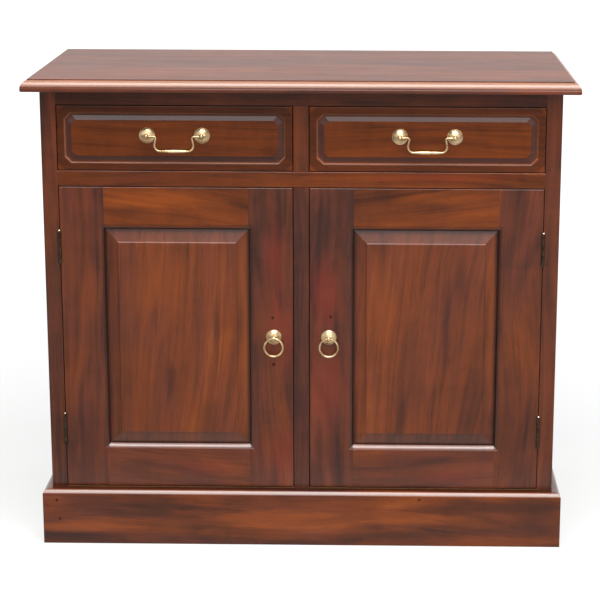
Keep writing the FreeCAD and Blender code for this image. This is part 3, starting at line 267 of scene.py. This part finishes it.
# Filled holes: the body that each is in, its place and its size, then radius and rise of the rings that shape
# one, and how many sides a ring has
PLUGS = {
    "left_door_plug_high": ("left_door", (-0.0523, FACE, 0.430), 1.1),
    "left_door_plug_low": ("left_door", (-0.0506, FACE, 0.342), 1.4),
    "right_door_plug": ("right_door", (0.0536, FACE, 0.433), 1.1),
    "plinth_plug_left_high": ("carcass", (-0.4536, PLINTH_FACE, 0.084), 1.0),
    "plinth_plug_left_low": ("carcass", (-0.4490, PLINTH_FACE, 0.048), 1.0),
    "plinth_plug_right": ("carcass", (0.2185, PLINTH_FACE, 0.091), 1.0),
}
PLUG_RINGS = ((0.0006, 0.00012), (0.0014, 0.00010), (0.0020, 0.00006), (0.0025, 0.0), (0.0026, -0.0012))
PLUG_SIDES = 20


def linear(code):
    """The linear colour that a web colour code stands for."""
    straight_end, straight_slope, offset, power = 0.04045, 12.92, 0.055, 2.4
    colour = []
    for start in (1, 3, 5):
        share = int(code[start:start + 2], 16) / 255
        if share <= straight_end:
            colour.append(share / straight_slope)
        else:
            colour.append(((share + offset) / (1.0 + offset)) ** power)
    return colour + [1.0]


class Graph:
    """One material and short calls that add its nodes."""

    def __init__(self, name):
        self.material = bpy.data.materials.new(name)
        self.material.use_nodes = True
        self.tree = self.material.node_tree
        self.shader = self.tree.nodes["Principled BSDF"]

    def feed(self, socket, value):
        """Link a socket to another, or set its own value."""
        if isinstance(value, bpy.types.NodeSocket):
            self.tree.links.new(value, socket)
        else:
            socket.default_value = value

    def add(self, kind, inputs=(), **settings):
        """A node with its settings, and its inputs in order."""
        made = self.tree.nodes.new(kind)
        for name, value in settings.items():
            setattr(made, name, value)
        for socket, value in zip(made.inputs, inputs):
            self.feed(socket, value)
        return made

    def math(self, operation, *values):
        """One step of arithmetic."""
        return self.add("ShaderNodeMath", values, operation=operation).outputs[0]

    def sway(self, value, amount, base):
        """A base moved by how far a value lies from one half."""
        return self.math("MULTIPLY_ADD", self.math("SUBTRACT", value, 0.5), amount, base)

    def noise(self, place, scales, detail, distortion):
        """Noise about 0.5 that is stretched by a scale for each axis."""
        made = self.add("ShaderNodeTexNoise")
        stretched = self.add("ShaderNodeVectorMath", (place, scales), operation="MULTIPLY")
        self.feed(made.inputs["Vector"], stretched.outputs[0])
        for name, value in (("Scale", 1.0), ("Detail", detail), ("Distortion", distortion)):
            made.inputs[name].default_value = value
        return made.outputs["Fac"]

    def ramp(self, value, colours, shares):
        """Colours in order along a value."""
        made = self.add("ShaderNodeValToRGB", (value,))
        stops = made.color_ramp.elements
        while len(stops) < len(shares):
            stops.new(1.0)
        for stop, code, share in zip(stops, colours, shares):
            stop.position = share
            stop.color = linear(code)
        return made.outputs["Color"]

    def steps(self, value, low, high):
        """A value that rises smoothly from 0 at low to 1 at high."""
        made = self.add("ShaderNodeMapRange", interpolation_type="SMOOTHSTEP")
        for name, number in (("From Min", low), ("From Max", high)):
            made.inputs[name].default_value = number
        self.feed(made.inputs["Value"], value)
        return made.outputs["Result"]

    def mix(self, share, first, second):
        """A colour between two."""
        made = self.add("ShaderNodeMix", data_type="RGBA")
        for name, value in (("Factor_Float", share), ("A_Color", first), ("B_Color", second)):
            self.feed(next(socket for socket in made.inputs if socket.identifier == name), value)
        return next(socket for socket in made.outputs if socket.identifier == "Result_Color")

    def finish(self, **sockets):
        """Set the shader's own sockets by name, with spaces written as underscores."""
        for name, value in sockets.items():
            self.feed(self.shader.inputs[name.replace("_", " ")], value)
        return self.material

    def bump(self, height, distance):
        """A normal that follows a height."""
        made = self.add("ShaderNodeBump")
        self.feed(made.inputs["Height"], height)
        made.inputs["Distance"].default_value = distance
        return made.outputs["Normal"]

    def where(self):
        """Places in the piece."""
        return self.add("ShaderNodeTexCoord").outputs["Object"]

    def place(self):
        """Places in the piece, split into axes."""
        return self.add("ShaderNodeSeparateXYZ", (self.where(),)).outputs


def ending_of(name, table, other):
    """What a table says for the first ending in it that a name has."""
    return next((value for ending, value in table.items() if name.endswith(ending)), other)


def rim_distance(graph, name):
    """How far a place on a drawer front lies from its outline, with corners cut as the groove's are."""
    split = graph.place()
    low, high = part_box(name)
    beside, above = (graph.math(
        "MINIMUM", graph.math("SUBTRACT", split[axis], getattr(low, axis.lower())),
        graph.math("SUBTRACT", getattr(high, axis.lower()), split[axis])) for axis in "XZ")
    corner = graph.math("MULTIPLY_ADD", graph.math("ADD", beside, above), *CORNER_CUT)
    return graph.math("MINIMUM", graph.math("MINIMUM", beside, above), corner)


def marked(graph, colour, name, along, base, depths, share, tone):
    """A colour turned towards a mark's tone between distances from where they start."""
    start, full, thin, end = (base + depth for depth in depths)
    level = rim_distance(graph, name) if along == "rim" else graph.place()[along]
    inside = graph.math("MULTIPLY", graph.steps(level, start, full), graph.steps(level, end, thin))
    if along == "rim":
        ahead = graph.steps(graph.place()["Y"], *(FACE + depth for depth in RIM_DEPTHS))
        inside = graph.math("MULTIPLY", inside, ahead)
    return graph.mix(graph.math("MULTIPLY", inside, share), colour, linear(tone))


def patched(graph, colour, grain, patches):
    """A colour with soft patches of figure and a few of painted shade, whose edges wander along the grain."""
    split = graph.place()
    wander = graph.noise(grain, *WANDER)
    for (beside, above), (width, height), share, tone in patches:
        aside = graph.math("DIVIDE", graph.math("SUBTRACT", split["X"], beside), width)
        aloft = graph.math("DIVIDE", graph.math("SUBTRACT", split["Z"], above), height)
        square = graph.math("MULTIPLY_ADD", aside, aside, graph.math("MULTIPLY", aloft, aloft))
        away = graph.sway(wander, PATCH_WANDER, graph.math("SQRT", square))
        inside = graph.steps(away, *PATCH_EDGE)
        colour = graph.mix(graph.math("MULTIPLY", inside, share), colour, linear(tone))
    return colour


def coat_of(graph, name, full):
    """How much coat a board keeps, thinner on the top's flat."""
    coat = full * ending_of(name, DULLED, 1.0)
    if name != "top_board":
        return coat
    (low, high), left = THIN_COAT
    thin = graph.steps(graph.place()["Z"], TOP_LEVEL + low, TOP_LEVEL + high)
    return graph.math("MULTIPLY_ADD", thin, left - coat, coat)


def wood(name, lie, seed, tones, tone, warmth, lean, figure, gloss):
    """Wood with drifts of tone, dark streaks, fibre, curl and pores, along its own grain."""
    graph = Graph(name)
    split = graph.place()
    along, across, into = (
        graph.math("ADD", split[axis], seed * move) for axis, move in zip(lie, SEED_MOVES))
    straight = graph.add("ShaderNodeCombineXYZ", (along, across, into)).outputs[0]
    bend = graph.sway(graph.noise(straight, *BEND), BEND_SWAY, across)
    leaning = graph.math("MULTIPLY_ADD", along, lean, bend)
    grain = graph.add("ShaderNodeCombineXYZ", (along, leaning, into)).outputs[0]
    layers = {layer: graph.noise(grain, *settings) for layer, settings in GRAIN.items()}
    streaked = graph.steps(layers["streak"], *DARK_STEPS)
    dark = graph.math("MULTIPLY", streaked, graph.steps(layers["zone"], *ZONE_STEPS))
    pore = graph.steps(layers["pore"], *PORE_STEPS)
    value = graph.sway(layers["patch"], FIGURE_SWAY * figure, tone)
    for layer, amount in TONE_SWAYS.items():
        value = graph.sway(layers[layer], amount, value)
    value = graph.math("MULTIPLY_ADD", dark, DARK_DEPTH, value)
    value = graph.math("MULTIPLY_ADD", pore, PORE_DEPTH, value)
    hue = graph.sway(layers["tint"], TINT_SWAY + TINT_FIGURE * figure, warmth)
    hue = graph.sway(layers["warmth"], HUE_SWAY, hue)
    red, orange = (graph.ramp(value, colours, TONE_SHARES) for colours in tones)
    colour = graph.mix(graph.steps(hue, 0.0, 1.0), red, orange)
    # Patches of figure, a few of them painted shade
    if name in PATCHES:
        colour = patched(graph, colour, grain, PATCHES[name])
    # Painted shade and painted highlights from the marks
    for mark in ending_of(name, MARKS, ()):
        colour = marked(graph, colour, name, *mark)
    smear = graph.noise(straight, *SMEAR)
    height = graph.math("MULTIPLY_ADD", pore, -1.0, graph.math("MULTIPLY", smear, SMEAR_RELIEF))
    return graph.finish(
        Base_Color=colour,
        Roughness=graph.sway(smear, SMEAR_SWAY, gloss["roughness"]),
        Specular_IOR_Level=gloss["level"],
        Normal=graph.bump(height, gloss["relief"]),
        Coat_Weight=coat_of(graph, name, gloss["coat"]),
        Coat_Roughness=gloss["coat_roughness"])


def wood_of(name, seed):
    """The wood of one board."""
    if name in BOARDS:
        lie, *look = BOARDS[name]
        return wood(name, lie, seed, (RED_TONES, ORANGE_TONES), *look, LACQUER)
    tones, look = (BACK_TONES, BACK_LOOK) if name == "back_panel" else (LINING_TONES, LINING_LOOK)
    return wood(name, PLAIN_BOARDS[name], seed, (tones, tones), *look, PLAIN)


def metal(name, dark, pale, metallic, roughness, scale, relief, level):
    """Metal, or another plain stuff, that has dulled unevenly."""
    graph = Graph(name)
    cloud = graph.noise(graph.where(), (scale, scale, scale), CLOUD_DETAIL, 0.0)
    return graph.finish(
        Base_Color=graph.ramp(graph.steps(cloud, *CLOUD_STEPS), (dark, pale), (0.0, 1.0)),
        Metallic=metallic,
        Roughness=graph.sway(cloud, CLOUD_SWAY, roughness),
        Normal=graph.bump(cloud, relief),
        Specular_IOR_Level=level)


def dress(metals):
    """Give every node its material: wood of its own, its own metal, or the metal of its slot."""
    slots = {row["node"]: row["material_slot"] for row in frame["record"]["subparts"]}
    for number, name in enumerate(sorted(nodes), start=1):
        if name in BOARDS or name in PLAIN_BOARDS:
            made = wood_of(name, number)
        else:
            made = metals.get(name, metals[slots[name]])
        nodes[name].data.materials.clear()
        nodes[name].data.materials.append(made)


def plug(name, body, place, size, filler):
    """A small filled hole in a face, a little proud of it."""
    made = bmesh.new()
    turns = [2 * math.pi * step / PLUG_SIDES for step in range(PLUG_SIDES)]
    rings = []
    for radius, rise in PLUG_RINGS:
        rings.append([made.verts.new((
            place[0] + size * radius * math.cos(turn),
            place[1] - rise,
            place[2] + size * radius * math.sin(turn))) for turn in turns])
    for inner, outer in zip(rings, rings[1:]):
        for step in range(PLUG_SIDES):
            after = (step + 1) % PLUG_SIDES
            made.faces.new((inner[step], outer[step], outer[after], inner[after]))
    made.faces.new(rings[0])
    made.faces.new(list(reversed(rings[-1])))
    bmesh.ops.recalc_face_normals(made, faces=made.faces)
    mesh = bpy.data.meshes.new(name)
    made.to_mesh(mesh)
    made.free()
    for face in mesh.polygons:
        face.use_smooth = True
    mesh.materials.append(filler)
    piece = bpy.data.objects.new(name, mesh)
    bpy.context.scene.collection.objects.link(piece)
    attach(piece, body)


def floor():
    """A pale floor that shows white and keeps the shadow."""
    bpy.ops.mesh.primitive_plane_add(size=2 * FLOOR_REACH)
    made = bpy.context.object
    made.name = "floor"
    graph = Graph("floor")
    graph.finish(Base_Color=linear(FLOOR_COLOUR), Roughness=1.0, Specular_IOR_Level=0.0)
    path = graph.add("ShaderNodeLightPath").outputs
    ahead = graph.steps(graph.place()["Y"], *FRONT_FADE)
    mirrored = graph.math("MAXIMUM", path["Is Glossy Ray"], path["Is Transmission Ray"])
    mirrored = graph.math("MULTIPLY", mirrored, graph.math("MULTIPLY_ADD", ahead, FRONT_GLOW - 1.0, 1.0))
    seen = graph.math("MAXIMUM", path["Is Camera Ray"], mirrored)
    away = graph.add("ShaderNodeVectorMath", (graph.where(),), operation="LENGTH").outputs["Value"]
    share = graph.math("MULTIPLY_ADD", graph.steps(away, *GLOW_RISE), 1.0 - FLOOR_GLOW, FLOOR_GLOW)
    glow = graph.add("ShaderNodeEmission", (WHITE, graph.math("MULTIPLY", seen, share)))
    both = graph.add("ShaderNodeAddShader", (graph.shader.outputs[0], glow.outputs[0]))
    graph.tree.links.new(both.outputs[0], graph.tree.nodes["Material Output"].inputs["Surface"])
    made.data.materials.append(graph.material)


def sky():
    """Dim even light from all round, which shows white."""
    world = bpy.data.worlds.new("sky")
    bpy.context.scene.world = world
    world.use_nodes = True
    tree = world.node_tree
    split = tree.nodes.new("ShaderNodeSeparateXYZ")
    tree.links.new(tree.nodes.new("ShaderNodeTexCoord").outputs["Generated"], split.inputs[0])
    level = tree.nodes.new("ShaderNodeMapRange")
    tree.links.new(split.outputs["Z"], level.inputs["Value"])
    for name, value in (("From Min", 0.0), ("From Max", SKY_RISE), ("To Min", SKY_LOW), ("To Max", SKY_TOP)):
        level.inputs[name].default_value = value
    path = tree.nodes.new("ShaderNodeLightPath")
    seen = path.outputs["Is Camera Ray"]
    for name in ("Is Glossy Ray", "Is Transmission Ray"):
        either = tree.nodes.new("ShaderNodeMath")
        either.operation = "MAXIMUM"
        tree.links.new(seen, either.inputs[0])
        tree.links.new(path.outputs[name], either.inputs[1])
        seen = either.outputs[0]
    shown = tree.nodes.new("ShaderNodeMix")
    tree.links.new(seen, shown.inputs["Factor"])
    tree.links.new(level.outputs["Result"], shown.inputs["A"])
    shown.inputs["B"].default_value = 1.0
    back = tree.nodes["Background"]
    tree.links.new(shown.outputs["Result"], back.inputs["Strength"])
    back.inputs["Color"].default_value = WHITE


def soft_boxes():
    """Broad lamps in front, above and at the right."""
    for name, (place, target, (width, height), power) in SOFT_BOXES.items():
        lamp = bpy.data.lights.new(name, "AREA")
        lamp.shape = "RECTANGLE"
        lamp.size, lamp.size_y, lamp.energy = width, height, power
        lamp.color = LAMP_TINT
        made = bpy.data.objects.new(name, lamp)
        bpy.context.scene.collection.objects.link(made)
        made.location = place
        made.rotation_euler = (Vector(target) - Vector(place)).to_track_quat("-Z", "Y").to_euler()
        made.visible_camera = False
        made.visible_glossy = name in MIRRORED


def camera():
    """The photograph's view."""
    data = bpy.data.cameras.new("camera")
    data.lens = CAMERA_LENS
    data.sensor_width = CAMERA_SENSOR
    data.shift_x = CAMERA_SHIFT
    made = bpy.data.objects.new("camera", data)
    bpy.context.scene.collection.objects.link(made)
    seen = (
        Matrix.Rotation(math.radians(CAMERA_ROLL), 3, "Y")
        @ Matrix.Rotation(math.radians(CAMERA_PITCH), 3, "X")
        @ Matrix.Rotation(math.radians(CAMERA_YAW), 3, "Z"))
    turn = seen.transposed() @ Matrix.Rotation(math.radians(90), 3, "X")
    made.matrix_world = Matrix.Translation(CAMERA_PLACE) @ turn.to_4x4()
    bpy.context.scene.camera = made


stuffs = {name: metal(name, *look) for name, look in METALS.items()}
dress(stuffs)
for plug_name, plug_look in PLUGS.items():
    plug(plug_name, *plug_look, stuffs["filler"])
floor()
sky()
soft_boxes()
camera()
bpy.context.scene.view_settings.view_transform = "Standard"
